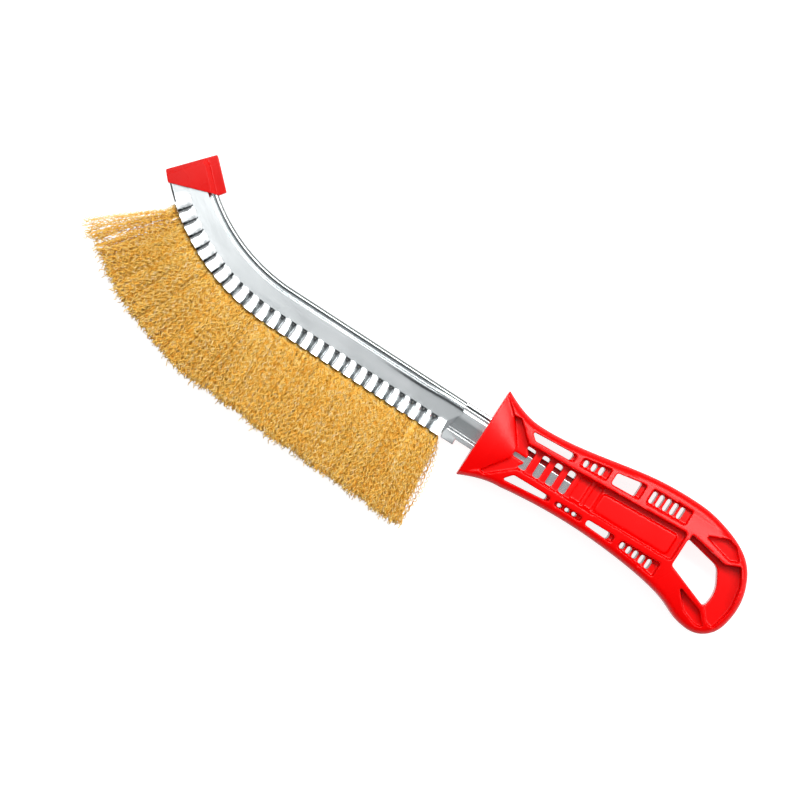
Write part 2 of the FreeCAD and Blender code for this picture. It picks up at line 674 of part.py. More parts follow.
def make_tip_cap():
    """Wedge pushed over the holder's end, lower over the bead and raised over the cheeks."""
    body = new_body("tip_cap")
    bend_axis = add_bend_axis(body)
    base = new_sketch(body, "CapOutline", "XY_Plane")
    draw_rounded(base, cap_outline(0.0, 0.0, 0.6, 0.5))
    pad(body, "CapPlate", base, "2 * Sizes.cap_ridge_half", midplane=True)
    doc.recompute()
    raised = new_sketch(body, "CapFaceOutline", "XY_Plane")
    draw_rounded(raised, cap_outline(size("cap_band"), 0.4, size("cap_chamfer") + 0.9, 0.0))
    face_half = size("flute_crest") + size("cap_wall")
    pad(body, "CapFace", raised, "2 * (Sizes.flute_crest + Sizes.cap_wall)", midplane=True)

    # Slopes down from the raised face to the band over the bead and to the end.
    end_turn = size("bend_angle") + (size("cap_end_mouth") + size("cap_end_spine")) / 2
    band_height = size("holder_height") / 2 + size("cap_spine_wall") - size("cap_band")
    centre = Vector(-size("straight_run"), size("bend_radius"), 0)

    def on_slope(middle, ends):
        reach = middle - centre
        turn = math.degrees(math.atan2(-reach.x, -reach.y))
        height = size("bend_radius") - math.hypot(reach.x, reach.y)
        at_face = abs(abs(middle.z) - face_half) < 0.01 and ends.Length > 2
        return at_face and (turn > end_turn - 1.6 or height > band_height - 1.0)

    dress_up(body, "Chamfer", "CapSlope", "Sizes.cap_chamfer", on_slope)
    seat = new_sketch(body, "CapSeatSection", "YZ_Plane", "-Sizes.straight_run")
    draw_sheet_section(seat, creased=False)
    hollow = body.newObject("PartDesign::Groove", "CapSeat")
    hollow.Profile = seat
    hollow.ReferenceAxis = (bend_axis, [""])
    hollow.setExpression("Angle", "Sizes.bend_angle")
    hollow.Reversed = True
    doc.recompute()
    return body


# ---------------------------------------------------------------- handle

def grip(share):
    """X at a share of the grip, from the collar face to the hang hole."""
    return size("grip_length") * share


def butt(share):
    """X at a share of the butt, from the hang hole's straight side to the end of the handle."""
    return size("grip_length") + size("butt_length") * share


def between(first, last, share):
    return first + (last - first) * share


def channel_top(x):
    return between(size("channel_top_front"), size("channel_top_back"), x / size("grip_length"))


def channel_bottom(x):
    return between(size("channel_bottom_front"), size("channel_bottom_back"), x / size("grip_length"))


def collar_edge(x, corner, neck):
    """Edge that sweeps from a corner of the collar to the neck."""
    return neck + (corner - neck) * (1 - x / size("neck_run")) ** 1.7


def top_edge(x):
    """Upper edge of the grip: low at the neck, highest at the palm."""
    share = min(1.0, (x - size("neck_run")) / (grip(PALM_STATION) - size("neck_run")))
    return between(size("neck_top"), size("palm_top"), 0.5 - 0.5 * math.cos(math.pi * share))


def bottom_edge(x):
    """Lower edge of the grip: a shallow bow, highest at the waist."""
    middle = grip(WAIST_STATION)
    reach = middle - size("neck_run")
    return size("waist_bottom") - size("waist_sweep") * ((x - middle) / reach) ** 2


PALM_STATION = 0.91
WAIST_STATION = 0.56

# Butt of the handle: share of the butt's length, then share of the palm's or the lobe's height.
BUTT_ABOVE = ((0.11, 0.975), (0.30, 0.92), (0.49, 0.842), (0.66, 0.735), (0.81, 0.575), (0.93, 0.32), (0.99, 0.06))
BUTT_BELOW = ((1.0, 0.12), (0.985, 0.42), (0.93, 0.70), (0.84, 0.87), (0.74, 0.965), (0.64, 1.0), (0.52, 0.99),
              (0.37, 0.93), (0.20, 0.81))


def draw_handle_outline(sketch):
    """Collar face, upper edge, butt and lower edge."""
    neck = size("neck_run")
    foot = bottom_edge(neck)
    stations = [neck * share for share in (0.0, 0.2, 0.4, 0.6, 0.8, 1.0)]
    upper_collar = [(x, collar_edge(x, size("collar_top"), size("neck_top"))) for x in stations]
    lower_collar = [(x, collar_edge(x, size("collar_bottom"), foot)) for x in stations]
    ridge = [between(neck, grip(PALM_STATION), step / 5) for step in range(6)]
    edge = [(x, top_edge(x)) for x in ridge]
    edge += [(butt(share), size("palm_top") * height) for share, height in BUTT_ABOVE]
    edge += [(butt(share), size("lobe_bottom") * height) for share, height in BUTT_BELOW]
    waist = [between(grip(0.97), neck, step / 4) for step in range(5)]
    edge += [(x, bottom_edge(x)) for x in waist]
    draw_spline(sketch, upper_collar)
    draw_spline(sketch, edge)
    draw_spline(sketch, lower_collar[::-1])
    top = Vector(0, size("collar_top"), 0)
    bottom = Vector(0, size("collar_bottom"), 0)
    sketch.addGeometry(Part.LineSegment(bottom, top), False)


def draw_crown(sketch):
    """Area above and below the handle's crowned sides, seen along the handle."""
    half = size("handle_thickness") / 2
    low = size("lobe_bottom") - 2
    high = size("palm_top") + 2
    middle = size("crown_line")
    fall = size("rail_fall") / (size("palm_top") - middle) ** 2
    for side in (1, -1):
        ends = [Vector(y, side * (half - fall * (y - middle) ** 2), 0) for y in (low, middle, high)]
        sketch.addGeometry(Part.Arc(*ends), False)
        outer = [ends[2], Vector(high, side * (half + 2), 0), Vector(low, side * (half + 2), 0), ends[0]]
        for start, finish in zip(outer, outer[1:]):
            sketch.addGeometry(Part.LineSegment(start, finish), False)


def add_handle_blank(body):
    """Outline padded through, crowned on both sides and rounded along the rim."""
    outline = new_sketch(body, "HandleOutline", "XY_Plane")
    draw_handle_outline(outline)
    pad(body, "HandleBlank", outline, "Sizes.handle_thickness", midplane=True)
    crown = new_sketch(body, "CrownSection", "YZ_Plane")
    draw_crown(crown)
    pocket(body, "Crown", crown, midplane=True)

    def on_rim(middle, ends):
        return abs(middle.z) > size("handle_thickness") / 4 and middle.x > 0.01

    dress_up(body, "Fillet", "Rim", "Sizes.rim_radius", on_rim)


# Collar dome: share of the collar's run, upper and lower edge, crown above the dome's edge.
DOME_STATIONS = ((0.0, 0.94, 0.94, 1.0), (0.39, 0.665, 0.64, 0.95), (0.84, 0.20, 0.03, 0.2))


def dome_corners():
    """Footprint of the dome at its stations: X, upper Y, lower Y and crown height."""
    rise = (size("handle_thickness") - size("dome_edge")) / 2
    return [
        (size("neck_run") * run, size("collar_top") * upper, size("collar_bottom") * lower, rise * crown)
        for run, upper, lower, crown in DOME_STATIONS
    ]


def add_dome(body):
    """Arched face of the collar, narrowing from the collar face to a blunt point."""
    stations = dome_corners()
    outline = [(x, upper, 0) for x, upper, _, _ in stations]
    outline += [(x, lower, 0) for x, _, lower, _ in reversed(stations)]
    both_sides(body, "DomeSeat", "Sizes.dome_edge", lambda sketch: draw_rounded(sketch, outline))
    edge = size("dome_edge") / 2
    for name, side in SIDES:
        sections = []
        for index, (x, upper, lower, rise) in enumerate(stations):
            sketch = new_sketch(body, f"DomeArch{name}{index}", "YZ_Plane", f"{x:.6f}")
            foot, head = Vector(lower, side * edge, 0), Vector(upper, side * edge, 0)
            crest = Vector((upper + lower) / 2, side * (edge + rise), 0)
            sketch.addGeometry(Part.Arc(foot, crest, head), False)
            sketch.addGeometry(Part.LineSegment(head, foot), False)
            sections.append(sketch)
        dome = body.newObject("PartDesign::AdditiveLoft", f"Dome{name}")
        dome.Profile = sections[0]
        dome.Sections = sections[1:]
        dome.Ruled = True
        doc.recompute()


def draw_channel(sketch):
    """Long channel, running forward on both sides of the dome as a V-shaped groove."""
    (_, _, _, _), (dome_x, dome_top, dome_bottom, _), (tip_x, tip_top, tip_bottom, _) = dome_corners()
    groove = size("groove_width")
    near, far = size("neck_run"), grip(CHANNEL_END)
    draw_rounded(sketch, [
        (dome_x, dome_top, 0),
        (dome_x + groove, dome_top + 0.4, 0.6),
        (near + 0.4, channel_top(near), 1.0),
        (far, channel_top(far), 1.5),
        (far, channel_bottom(far), 1.5),
        (near + 1.8, channel_bottom(near), 1.0),
        (dome_x + groove - 0.6, dome_bottom - 0.2, 0.6),
        (dome_x, dome_bottom, 0),
        (tip_x, tip_bottom, 0),
        (tip_x, tip_top, 0),
    ])


def cell(first, last, floor, ceiling, radius):
    """Four-cornered opening between two stations of the grip and two sloping lines."""
    near, far = grip(first), grip(last)
    return [
        (near, ceiling(near), radius),
        (near, floor(near), radius),
        (far, floor(far), radius),
        (far, ceiling(far), radius),
    ]


def upper_floor(x):
    return channel_top(x) + size("rib_width")


def upper_ceiling(x):
    return top_edge(x) - size("rim_width")


def front_ceiling(x):
    return top_edge(x) - size("front_rim_width")


def lower_ceiling(x):
    return channel_bottom(x) - size("lower_rib_width")


def lower_floor(x):
    return bottom_edge(x) + size("lower_rim_width")


# Stations of the grip, as shares from the collar face to the hang hole.
CHANNEL_END = 0.987
LONG_WINDOW = (0.178, 0.386)
LONG_WINDOW_HEEL = 0.212
LONG_WINDOW_STEP = (0.360, 0.400)
SHORT_RECESS = (0.428, 0.563)
SHORT_SLOTS = (0.452, 0.490, 0.526)
SQUARE_WINDOW = (0.587, 0.705)
SQUARE_WINDOW_STEP = (0.680, 0.727)
LONG_RECESS = (0.758, 0.957)
LONG_SLOTS = (0.777, 0.811, 0.845, 0.880, 0.914)
TANG_SLOTS = (0.227, 0.296, 0.361, 0.426)
FLOOR_RECESSES = ((0.467, 0.520), (0.537, 0.578))
PAD = (0.587, 0.955)


def windows():
    """Four windows that go right through the two rails."""
    heel = grip(LONG_WINDOW_HEEL)
    near, far = (grip(share) for share in LONG_WINDOW)
    return [
        [(near, front_ceiling(near), 0.3), (heel, upper_floor(heel), 0.6),
         (far, upper_floor(far), 0.8), (far, front_ceiling(far), 0.8)],
        [(near, lower_floor(near), 0.3), (far, lower_floor(far), 0.8),
         (far, lower_ceiling(far), 0.8), (heel, lower_ceiling(heel), 0.8)],
        cell(*SQUARE_WINDOW, upper_floor, upper_ceiling, 0.7),
        cell(*SQUARE_WINDOW, lower_floor, lower_ceiling, 0.7),
    ]


def rail_recesses():
    """Recesses around the small slots, and the step at the butt side of each window."""
    return [
        cell(*LONG_WINDOW_STEP, upper_floor, front_ceiling, 0.8),
        cell(*LONG_WINDOW_STEP, lower_floor, lower_ceiling, 0.8),
        cell(*SHORT_RECESS, upper_floor, front_ceiling, 0.8),
        cell(*SHORT_RECESS, lower_floor, lower_ceiling, 0.8),
        cell(*SQUARE_WINDOW_STEP, upper_floor, upper_ceiling, 0.8),
        cell(*SQUARE_WINDOW_STEP, lower_floor, lower_ceiling, 0.8),
        cell(*LONG_RECESS, upper_floor, upper_ceiling, 0.8),
        cell(*LONG_RECESS, lower_floor, lower_ceiling, 0.8),
    ]


def small_slot(share, floor, ceiling):
    """Round-ended slot across a recess, clear of the recess's two long edges."""
    middle, half = grip(share), size("slot_width") / 2
    tall = ceiling(middle) - floor(middle)
    inset = min(size("slot_inset"), tall / 8)
    bottom, top = floor(middle) + inset, ceiling(middle) - inset
    radius = min(0.8 * half, 0.3 * (top - bottom))
    return [(middle - half, top, radius), (middle - half, bottom, radius),
            (middle + half, bottom, radius), (middle + half, top, radius)]


def small_slots():
    slots = [small_slot(share, upper_floor, front_ceiling) for share in SHORT_SLOTS]
    slots += [small_slot(share, upper_floor, upper_ceiling) for share in LONG_SLOTS]
    slots += [small_slot(share, lower_floor, lower_ceiling) for share in SHORT_SLOTS + LONG_SLOTS]
    return slots


def tang_slots():
    """Slots through the channel floor that show the tang.

    The first one is flared towards the collar and opens into a short stem.
    """
    half = size("tang_slot_width") / 2
    slots = []
    for share in TANG_SLOTS:
        near, far = grip(share) - half, grip(share) + half
        floor, ceiling = channel_bottom(near) + 0.7, channel_top(near) - 0.9
        slots.append([(near, ceiling, 0.7), (near, floor, 0.7), (far, floor, 0.7), (far, ceiling, 0.7)])
    (near, ceiling, _), (_, floor, _), *far_side = slots[0]
    tip = dome_corners()[-1][0] + 0.3
    middle, stem, flare = size("stem_height"), size("stem_width") / 2, size("stem_flare")
    waist = near + 0.7 * flare
    slots[0] = [
        (near - flare, ceiling, 0.4),
        (waist, middle + stem + flare, 0.3),
        (waist, middle + stem, 0),
        (tip, middle + stem, 0.4),
        (tip, middle - stem, 0.4),
        (waist, middle - stem, 0),
        (waist, middle - stem - flare / 2, 0.3),
        (near - flare / 2, floor, 0.4),
        *far_side,
    ]
    return slots


def scaled(points):
    """Corners around the butt: share of the butt's length, height, rounding radius."""
    return [(butt(share), height, radius) for share, height, radius in points]


HANG_HOLE = ((0.0, 10.3, 1.0), (0.51, 7.3, 4.5), (0.68, -1.4, 12.0), (0.63, -8.0, 1.4), (0.0, -1.3, 1.0))
UPPER_POCKET = ((0.16, 14.5, 0.5), (0.44, 18.3, 1.0), (0.57, 17.3, 2.0), (0.71, 12.9, 0.6), (0.59, 11.4, 1.2))
LOWER_POCKET = ((0.21, -6.0, 0.5), (0.60, -9.6, 1.0), (0.76, -14.4, 0.6), (0.66, -15.2, 1.5), (0.45, -13.2, 4.0))
BUTT_POCKET = ((0.01, 12.4, 0.5), (0.56, 9.5, 1.5), (0.75, 12.0, 0.6), (0.88, 6.0, 9.0), (0.935, -3.2, 12.0),
               (0.86, -12.9, 0.8), (0.76, -12.2, 1.0), (0.62, -7.6, 0.6), (0.50, -4.0, 0.5), (0.02, 9.0, 0.5))


def make_handle():
    """Moulded handle: crowned blank, domed collar, ribbed grip and open butt, over the tang."""
    body = new_body("handle")
    add_handle_blank(body)
    add_dome(body)
    both_sides(body, "Channel", "Sizes.web_thickness", draw_channel)

    pad_corners = cell(*PAD, lambda x: channel_bottom(x) + 1.2, lambda x: channel_top(x) - 2.6, 1.2)
    for name, side in SIDES:
        level = f"{side} * Sizes.web_thickness / 2"
        panel = new_sketch(body, f"Panel{name}Outline", "XY_Plane", level)
        draw_rounded(panel, pad_corners)
        pad(body, f"Panel{name}", panel, "Sizes.pad_rise", backwards=side < 0)
        doc.recompute()

    def floor_recesses(sketch):
        for station in FLOOR_RECESSES:
            draw_rounded(sketch, cell(
                *station, lambda x: channel_bottom(x) + 0.7, lambda x: channel_top(x) - 0.7, 0.5))

    both_sides(body, "FloorRecess", "(Sizes.web_thickness - 2 * Sizes.pad_rise)", floor_recesses)

    def recesses(sketch):
        for corners in rail_recesses():
            draw_rounded(sketch, corners)

    both_sides(body, "RailRecess", "Sizes.recess_thickness", recesses)

    def butt_pockets(sketch):
        for corners in (UPPER_POCKET, LOWER_POCKET, BUTT_POCKET):
            draw_rounded(sketch, scaled(corners))

    both_sides(body, "ButtPocket", "Sizes.pocket_thickness", butt_pockets)

    through = new_sketch(body, "Openings", "XY_Plane")
    for corners in windows() + small_slots() + tang_slots() + [scaled(HANG_HOLE)]:
        draw_rounded(through, corners)
    pocket(body, "OpeningsCut", through, midplane=True)

    entry = new_sketch(body, "TangEntry", "YZ_Plane")
    draw_tang_section(entry)
    pocket(body, "TangEntryCut", entry, "Sizes.tang_entry", backwards=True)
    blade = new_sketch(body, "BladeSocket", "YZ_Plane", "Sizes.tang_entry")
    draw_blade_section(blade)
    pocket(body, "BladeSocketCut", blade, "Sizes.tang_depth - Sizes.tang_entry", backwards=True)
    return body


# ---------------------------------------------------------------- the whole brush

pieces = [make_steel_holder(), make_core_wire(), make_tip_cap(), make_handle()]
for number, centre in enumerate(flute_centres(), start=1):
    pieces.append(make_wire_bundle(number, centre))
doc.recompute()

faults = [thing.Name for thing in doc.Objects if "Invalid" in thing.State or "Error" in thing.State]
if faults:
    raise RuntimeError(f"failed objects: {faults}")

# Stand the brush on its lowest point, with the origin below the middle of its outline.
whole = Part.makeCompound([piece.Shape for piece in pieces]).optimalBoundingBox()
shift = Vector(-whole.Center.x, -whole.Center.y, -whole.ZMin)
for piece in pieces:
    piece.Placement = FreeCAD.Placement(shift, FreeCAD.Rotation()).multiply(piece.Placement)
doc.recompute()

os.makedirs("parts", exist_ok=True)
for piece in pieces:
    shape = piece.Shape
    if shape.isNull() or not shape.isValid() or len(shape.Solids) != 1:
        raise RuntimeError(f"{piece.Label} is not one valid solid")
    shape.exportStep(f"parts/{piece.Label}.step")
    box = shape.optimalBoundingBox()
    print(f"{piece.Label:16s} {box.XLength:7.2f} {box.YLength:7.2f} {box.ZLength:7.2f} {shape.Volume:10.1f}")
print("origin shift", shift)
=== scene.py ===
import math

import bmesh
import bpy
import numpy as np
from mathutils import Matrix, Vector
from mathutils.geometry import tessellate_polygon


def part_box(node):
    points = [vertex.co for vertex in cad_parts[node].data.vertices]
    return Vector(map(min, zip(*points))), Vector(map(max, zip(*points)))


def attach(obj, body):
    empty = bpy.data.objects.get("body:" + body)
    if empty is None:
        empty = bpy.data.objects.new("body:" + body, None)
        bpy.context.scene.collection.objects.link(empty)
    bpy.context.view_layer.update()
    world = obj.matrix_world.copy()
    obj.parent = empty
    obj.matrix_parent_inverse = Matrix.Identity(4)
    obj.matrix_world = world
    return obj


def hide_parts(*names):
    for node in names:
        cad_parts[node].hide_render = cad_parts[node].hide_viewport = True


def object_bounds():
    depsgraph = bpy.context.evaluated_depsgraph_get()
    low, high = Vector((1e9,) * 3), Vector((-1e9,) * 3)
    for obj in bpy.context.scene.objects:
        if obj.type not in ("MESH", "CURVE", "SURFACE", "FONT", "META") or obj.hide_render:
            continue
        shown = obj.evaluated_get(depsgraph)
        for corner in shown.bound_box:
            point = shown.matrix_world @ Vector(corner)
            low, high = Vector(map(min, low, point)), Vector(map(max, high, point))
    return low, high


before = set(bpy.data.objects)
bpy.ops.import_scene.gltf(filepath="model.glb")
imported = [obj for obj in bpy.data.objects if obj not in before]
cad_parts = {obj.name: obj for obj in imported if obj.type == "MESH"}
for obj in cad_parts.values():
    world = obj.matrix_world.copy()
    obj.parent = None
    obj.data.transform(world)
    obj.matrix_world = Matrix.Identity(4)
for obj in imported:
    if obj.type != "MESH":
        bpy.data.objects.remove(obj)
cad_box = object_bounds()

# ------------------------------------------------------------------ steel holder
# One strip of bright zinc-coated sheet, folded double over the wires and rolled along the spine.
# Its cheeks are pressed into a row of flutes that grip the wires, and its tang goes into the handle.

# Sizes are in millimetres. A place on the holder is its distance from the handle along the centre line, its
# height from that line towards the spine, and its half thickness across.
MM = 0.001
STRAIGHT_RUN = 87.7
BEND_RADIUS = 76.8
HOLDER_END = STRAIGHT_RUN + BEND_RADIUS * math.radians(45.0)
HALF_HEIGHT = 8.15
LINE_ABOVE_BUNDLES = 4.0
FLUTE_START = 13.5
FLUTE_PITCH = 4.77
FLUTE_COUNT = 27
ROW_END = FLUTE_START + FLUTE_PITCH * FLUTE_COUNT

# The holder's centre line leaves the handle at the middle of its collar.
collar_low, collar_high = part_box("handle")
straight_bundle_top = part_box("wire_bundle_10")[1].y
COLLAR_CENTRE = Vector((
    collar_low.x,
    straight_bundle_top - LINE_ABOVE_BUNDLES * MM,
    (collar_low.z + collar_high.z) / 2,
))


def on_holder(distance, height, across):
    """Point in the frame at a place on the holder."""
    if distance <= STRAIGHT_RUN:
        x, y = -distance, height
    else:
        turn = (distance - STRAIGHT_RUN) / BEND_RADIUS
        reach = BEND_RADIUS - height
        x = -STRAIGHT_RUN - reach * math.sin(turn)
        y = BEND_RADIUS - reach * math.cos(turn)
    return COLLAR_CENTRE + Vector((x, y, across)) * MM


def smooth(value):
    """Soft step from 0 to 1."""
    value = min(1.0, max(0.0, value))
    return value * value * (3 - 2 * value)


SHEET = 0.45
CHEEK_HALF = 3.15
CHEEK_FOOT = -2.0
FLUTE_HEIGHT = CHEEK_FOOT + HALF_HEIGHT

# A pillow is the raised part of a flute. It flares to the mouth, starts under a low arch and falls off more
# on the side that faces the tip.
PILLOW_FLARE = 0.95
PLAIN_FLARE = 0.3
ARCH = 0.30
ARCH_IN_BEND = 0.12
ARCH_ROUND = 0.35
FALL_TO_TIP = 0.95
FALL_TO_HANDLE = 0.22

# A crease parts two flutes. Creases are wide along the straight run, widest by the handle, and thin in the
# bend.
CREASE_DEPTH = 0.8
CREASE_FALL = 1.1
CREASE_START = 0.06
CREASE_RUN_IN = 0.30
STRAIGHT_CREASE = 0.72
CREASE_TOP_GAIN = 0.9
BEND_CREASE = 0.10
BEND_CREASE_GAIN = 0.30
BEND_EASE = 34
WIDE_UNTIL = 44
WIDE_EASE = 26

# Past the last flute the cheek is plain, with its lip turned in.
PLAIN_EASE = 0.7
LIP_TURN = 0.35
LIP_BAND = 0.10
LIP_EASE = 0.2


def crease_width(distance, drop):
    """Half width of a crease at a share of the flute's height below the cheek."""
    bend_share = smooth((distance - STRAIGHT_RUN) / BEND_EASE)
    wide_share = smooth((WIDE_UNTIL - distance) / WIDE_EASE)
    straight = (STRAIGHT_CREASE + CREASE_TOP_GAIN * (1 - drop) ** 2) * (1 + 0.5 * wide_share)
    bend = BEND_CREASE + BEND_CREASE_GAIN * drop ** 1.5
    return straight + (bend - straight) * bend_share


def flute_level(distance, height):
    """Half thickness of the fluted band: half cones that flare to the mouth, with creases between."""
    drop = (CHEEK_FOOT - height) / FLUTE_HEIGHT
    along = (distance - FLUTE_START) / FLUTE_PITCH
    if drop <= 0:
        return CHEEK_HALF
    if along < 0:
        return CHEEK_HALF + PLAIN_FLARE * drop
    past_last_crest = along - FLUTE_COUNT + 0.5
    if past_last_crest > 0:
        flare = PILLOW_FLARE - (PILLOW_FLARE - PLAIN_FLARE) * smooth(past_last_crest / PLAIN_EASE)
        lip_share = smooth((drop - 1 + LIP_BAND) / LIP_BAND)
        return CHEEK_HALF + flare * drop - LIP_TURN * lip_share * smooth(past_last_crest / LIP_EASE)
    from_crease = abs(along - round(along)) * FLUTE_PITCH
    from_crest = 2 * (along - math.floor(along)) - 1
    bend_share = smooth((distance - STRAIGHT_RUN) / BEND_EASE)
    arch = (ARCH + (ARCH_IN_BEND - ARCH) * bend_share) * from_crest ** 2
    inside_arch = max(0.0, (drop - arch) / (1 - arch))
    fall = FALL_TO_TIP if from_crest > 0 else FALL_TO_HANDLE
    fallen = fall * from_crest ** 2 * smooth(inside_arch / ARCH_ROUND)
    pillow = CHEEK_HALF + PILLOW_FLARE * inside_arch - fallen
    groove = (1 - smooth(from_crease / crease_width(distance, drop))) * smooth(drop / CREASE_START)
    floor = CHEEK_HALF - CREASE_DEPTH * smooth(drop / CREASE_RUN_IN) - CREASE_FALL * drop
    return pillow - (pillow - floor) * groove


# Edge of the cheeks beside the tang: straight at the spine, cut back on a slant, nearly straight by the
# flutes.
EDGE_START = 10.2
SLANT_TOP = 3.0
SLANT_FOOT = -1.9
EDGE_LEAN = 0.5


def cheek_edge(height):
    """Distance from the handle at which the cheeks begin."""
    if height > SLANT_TOP:
        return EDGE_START
    if height > SLANT_FOOT:
        return EDGE_START + (FLUTE_START - EDGE_START) * (SLANT_TOP - height) / (SLANT_TOP - SLANT_FOOT)
    return FLUTE_START - EDGE_LEAN * (SLANT_FOOT - height) / (HALF_HEIGHT + SLANT_FOOT)


# Height and half thickness of the rolled bead along the spine, from its crest to the groove under it.
SPINE_BEAD = (
    (8.15, 0.0), (8.15, 0.45), (8.13, 0.75), (8.08, 1.0), (8.0, 1.15),
    (7.75, 1.33), (7.5, 1.5), (7.35, 1.59), (7.2, 1.65),
)
BEAD_FOOT = 7.0
BEAD_HALF = 1.7
GROOVE_HEIGHT = 5.7
GROOVE_HALF = 1.25
RIDGE_HEIGHT = 4.5
RIDGE_RISE = 0.75
RIDGE_UNTIL = 30
RIDGE_EASE = 16
RIDGE_LIFT = 0.24
LIFT_UNTIL = 50
LIFT_EASE = 22
RIDGE_BLEND = 1.1
ROW_GAP = 0.1

# Changes towards the tang: the bead and the groove rise and get thinner.
TANG_UNTIL = 14.6
TANG_EASE = 4.4
SPINE_RISE = 0.2
FOOT_RISE = 0.3
FOOT_THINNING = 0.36
GROOVE_RISE = 0.7
GROOVE_THINNING = 0.3


def shares(count):
    """Equal steps that end at 1."""
    return [step / count for step in range(1, count + 1)]


def upper_section(distance):
    """Heights and half thicknesses from the spine down to the flutes, at a distance from the handle.

    Towards the tang the ridge between groove and cheek swells.
    """
    at_tang = smooth((TANG_UNTIL - distance) / TANG_EASE)
    foot = BEAD_FOOT + FOOT_RISE * at_tang
    foot_half = BEAD_HALF - FOOT_THINNING * at_tang
    groove = GROOVE_HEIGHT + GROOVE_RISE * at_tang
    groove_half = GROOVE_HALF - GROOVE_THINNING * at_tang
    ridge = RIDGE_HEIGHT + RIDGE_RISE * smooth((RIDGE_UNTIL - distance) / RIDGE_EASE)
    lift = RIDGE_LIFT * smooth((LIFT_UNTIL - distance) / LIFT_EASE)
    ridge_half = CHEEK_HALF + lift
    rows = [(height + SPINE_RISE * at_tang, across * foot_half / BEAD_HALF) for height, across in SPINE_BEAD]
    rows.append((foot, foot_half))
    for share in shares(6):
        rows.append((foot - (foot - groove) * share, foot_half - (foot_half - groove_half) * share ** 1.6))
    for share in shares(8):
        swell = 0.35 * smooth(share) + 0.65 * share
        height = groove - ROW_GAP + (ridge - groove + ROW_GAP) * share
        rows.append((height, groove_half + (ridge_half - groove_half) * swell))
    for share in shares(4):
        rows.append((ridge - ROW_GAP - RIDGE_BLEND * share, CHEEK_HALF + lift * (1 - smooth(share))))
    cheek_top = ridge - ROW_GAP - RIDGE_BLEND
    for share in shares(8):
        rows.append((cheek_top + (CHEEK_FOOT - cheek_top) * share, CHEEK_HALF))
    return rows


FLUTE_ROWS = 30
flute_heights = [CHEEK_FOOT - FLUTE_HEIGHT * share ** 1.2 for share in shares(FLUTE_ROWS)]
INSIDE_HEIGHTS = (-8.1, -7.4, -6.4, -5.2, -4.2, -3.2, -2.4, -1.0, 2.0)
FOLD_INSIDE = 3.4
LIP_BULGE = 0.06
LIP_ROUND = 0.10


def mirrored(half):
    """Closed outline from its half on one side, whose first and last points lie on the middle plane."""
    return half + [(height, -across) for height, across in reversed(half[1:-1])]


def sheet_ring(distance, edge_share):
    """Closed outline of the fold at a distance: down one side, up inside, and the same mirrored.

    An edge share under 1 blends the distance of each point with the cheeks' cut edge.
    """
    half = upper_section(distance)
    half += [(height, flute_level(distance, height)) for height in flute_heights]
    lip = half[-1][1]
    lip_foot = -HALF_HEIGHT - LIP_BULGE
    half += [(lip_foot, lip - LIP_ROUND), (lip_foot, lip - SHEET + LIP_ROUND)]
    half += [(height, min(flute_level(distance, height), CHEEK_HALF) - SHEET) for height in INSIDE_HEIGHTS]
    half.append((FOLD_INSIDE, 0.0))
    ring = []
    for height, across in mirrored(half):
        start = cheek_edge(height)
        reach = start + (distance - start) * edge_share if edge_share < 1 else distance
        ring.append((reach, distance, height, across))
    return ring


def mesh_piece(name, vertices, faces):
    """Object made of a mesh, linked to the scene."""
    mesh = bpy.data.meshes.new(name)
    mesh.from_pydata(vertices, [], faces)
    mesh.update()
    mesh.shade_smooth()
    made = bpy.data.objects.new(name, mesh)
    bpy.context.collection.objects.link(made)
    return made


vertices, places, faces = [], [], []


def join_rings(first, ring_count, around):
    """Quads between rings of points that follow each other in the list of vertices."""
    for row in range(ring_count - 1):
        for column in range(around):
            a = first + row * around + column
            b = first + row * around + (column + 1) % around
            faces.append((a, b, b + around, a + around))


FLUTE_STEPS = 22
END_STEPS = 12


def add_folded_sheet():
    """Rings along the centre line, joined by quads and closed at both ends."""
    blend_end = FLUTE_START + FLUTE_PITCH / 2
    fluted_run = ROW_END - blend_end
    row_steps = round(fluted_run / FLUTE_PITCH * FLUTE_STEPS)
    stations = [(blend_end, step / END_STEPS) for step in range(END_STEPS + 1)]
    stations += [(blend_end + fluted_run * share, 1) for share in shares(row_steps)]
    stations += [(ROW_END + (HOLDER_END - ROW_END) * share, 1) for share in shares(END_STEPS)]
    for distance, edge_share in stations:
        for reach, place, height, across in sheet_ring(distance, edge_share):
            vertices.append(on_holder(reach, height, across))
            places.append((place, height, across))
    around = len(vertices) // len(stations)
    join_rings(0, len(stations), around)
    for first in (0, len(vertices) - around):
        outline = [Vector(place[1:] + (0.0,)) for place in places[first:first + around]]
        for triangle in tessellate_polygon([outline]):
            faces.append(tuple(first + corner for corner in triangle))


add_folded_sheet()

# Tang: the same strip run on into the handle, with a fold line, a lip and a plain blade inside.
TANG_OUTLINE = (
    (8.35, 0.0), (8.3, 0.75), (8.15, 1.15), (7.9, 1.32), (7.3, 1.42), (7.05, 1.40), (6.5, 1.22),
    (6.3, 1.20), (6.1, 1.24), (5.2, 1.66), (4.6, 1.86), (4.3, 1.9), (2.2, 1.905), (1.9, 1.9),
    (1.6, 1.88), (-2.9, 1.49), (-3.1, 1.52), (-3.5, 1.05), (-3.7, 1.0), (-4.0, 1.28), (-4.2, 1.32),
    (-5.7, 1.3), (-5.95, 1.1), (-6.05, 0.8), (-6.05, 0.0),
)
BLADE_OUTLINE = (
    (5.68, 0.0), (5.68, 0.42), (5.6, 0.52), (3.75, 1.52), (3.55, 1.6),
    (-4.65, 1.40), (-4.8, 1.2), (-4.8, 0.0),
)
TANG_RUN = (10.6, -10.35)
BLADE_RUN = (-10.3, -39.1)
BAR_STEPS = 6
HELD = 0.12
UNDER_CHEEKS = 14.2
SPINE_FOOT = 5.6
SPINE_BLEND = 1.2


